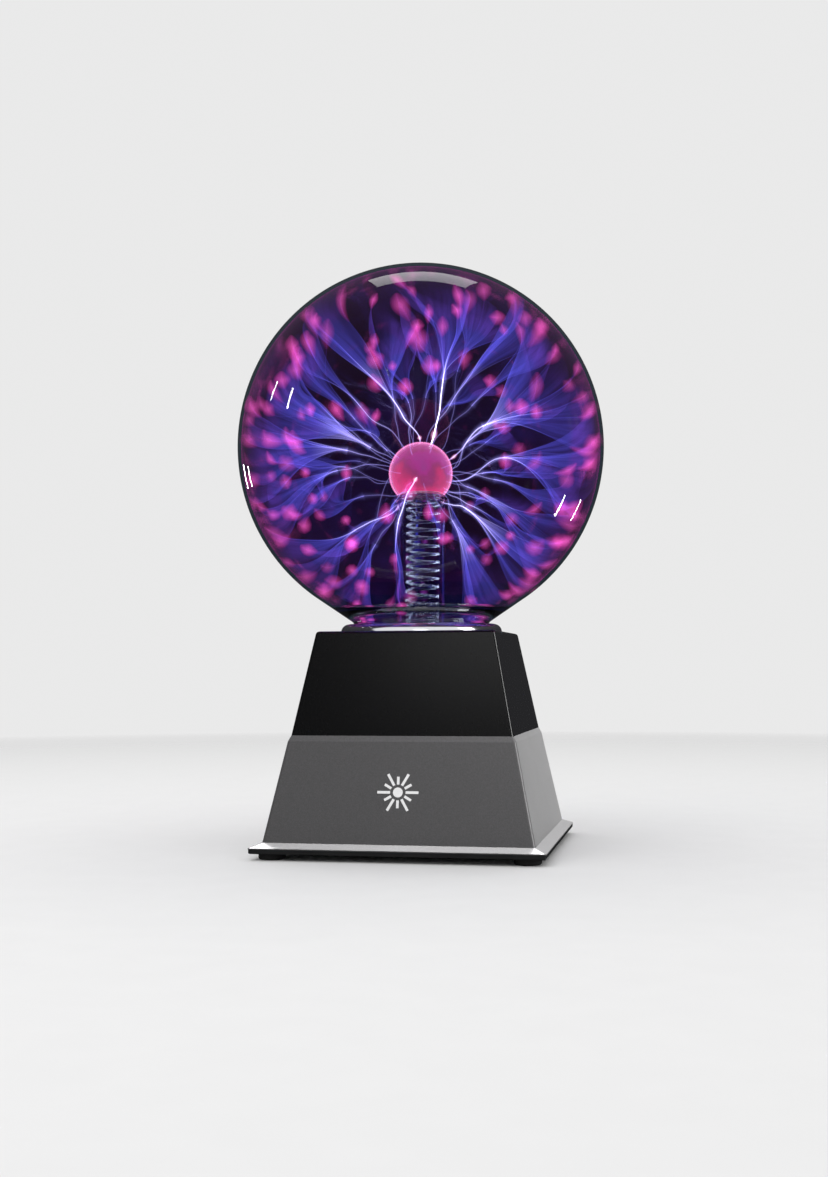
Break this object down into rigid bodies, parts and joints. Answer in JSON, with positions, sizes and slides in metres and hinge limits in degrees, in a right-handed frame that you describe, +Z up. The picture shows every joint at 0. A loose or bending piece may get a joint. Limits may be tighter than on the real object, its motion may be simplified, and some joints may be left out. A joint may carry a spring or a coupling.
{
  "type": "plasma ball lamp",
  "caption": "Plasma ball lamp: clear glass globe with a central electrode on a stem, silver collar, and a two-tone stepped pyramid base with rear DC inlet and slide switch.",
  "frame": {"origin": "on the table under the centre of the globe, at the level of the feet", "axes": "+Z up, front faces -Y, +X to the viewer's right, rear fittings on +Y"},
  "size_m": [0.1524, 0.1524, 0.2413],
  "materials": {
    "clear_glass": "clear blown glass, polished",
    "stem_glass": "clear drawn glass tube",
    "electrode_glass": "clear glass glowing pink",
    "electrode_coating": "conductive coating, glowing",
    "wire_wool": "crumpled fine wire",
    "spring_wire": "bright plated spring wire",
    "contact_brass": "gold-plated brass",
    "white_foam": "white insulating plug",
    "silvered_plastic": "bright silvered ring",
    "black_rubber": "soft matt rubber",
    "inner_plastic": "plain moulded plastic",
    "zinc_screw": "zinc-plated steel",
    "gloss_black": "high-gloss piano black",
    "satin_charcoal": "satin metallic charcoal paint",
    "white_print": "white pad print",
    "matte_black": "textured black plastic",
    "black_screw": "black oxide steel",
    "circuit_board": "green solder mask",
    "ferrite": "dark sintered ferrite",
    "cream_plastic": "cream nylon",
    "winding_tape": "varnished winding under tape",
    "copper_wire": "enamelled copper wire",
    "red_insulation": "red silicone insulation",
    "bare_aluminium": "extruded aluminium",
    "component_black": "moulded epoxy",
    "capacitor_sleeve": "dark blue shrink sleeve",
    "capacitor_resin": "dipped resin",
    "resistor_lacquer": "tan lacquer with colour bands",
    "jack_plastic": "black moulded plastic",
    "tinned_contact": "tinned contact metal",
    "switch_can": "pressed plated steel",
    "phenolic": "brown phenolic board",
    "slider_plastic": "black ridged plastic",
    "microphone_can": "aluminium can with felt face",
    "white_insulation": "white PVC insulation",
    "black_insulation": "black PVC insulation"
  },
  "bodies": {
    "lamp": {"globe_envelope": "clear_glass", "electrode_stem": "stem_glass", "electrode_bulb": "electrode_glass", "electrode_lining": "electrode_coating", "steel_wool": "wire_wool", "exhaust_tip": "stem_glass", "hv_spring": "spring_wire", "spring_cup": "contact_brass", "stem_plug": "white_foam", "globe_collar": "silvered_plastic", "neck_gasket": "black_rubber", "neck_seat": "inner_plastic", "seat_screws": "zinc_screw", "upper_cover": "gloss_black", "lower_housing": "satin_charcoal", "front_emblem": "white_print", "cover_screws": "zinc_screw", "bottom_plate": "matte_black", "base_screws": "black_screw", "foot_front_left": "black_rubber", "foot_front_right": "black_rubber", "foot_rear_left": "black_rubber", "foot_rear_right": "black_rubber", "main_pcb": "circuit_board", "pcb_screws": "zinc_screw", "transformer_core": "ferrite", "transformer_bobbin": "cream_plastic", "hv_winding": "winding_tape", "primary_winding": "copper_wire", "hv_lead": "red_insulation", "heat_sink": "bare_aluminium", "power_transistor": "component_black", "transistor_screw": "zinc_screw", "electrolytic_capacitors": "capacitor_sleeve", "film_capacitor": "capacitor_resin", "control_ic": "component_black", "resistors": "resistor_lacquer", "pcb_connectors": "cream_plastic", "dc_jack_body": "jack_plastic", "dc_jack_pin": "contact_brass", "dc_jack_nut": "zinc_screw", "dc_jack_terminals": "tinned_contact", "mode_switch_frame": "switch_can", "mode_switch_base": "phenolic", "mode_switch_terminals": "tinned_contact", "switch_screws": "black_screw", "microphone": "microphone_can", "mic_boot": "black_rubber", "power_leads": "red_insulation", "switch_leads": "white_insulation", "mic_leads": "black_insulation"},
    "slider": {"mode_slider": "slider_plastic"}
  },
  "joints": [
    {"name": "mode_switch_slide", "type": "slide", "parent": "lamp", "child": "slider", "axis": [1, 0, 0], "range_m": [-0.002, 0.002]}
  ]
}
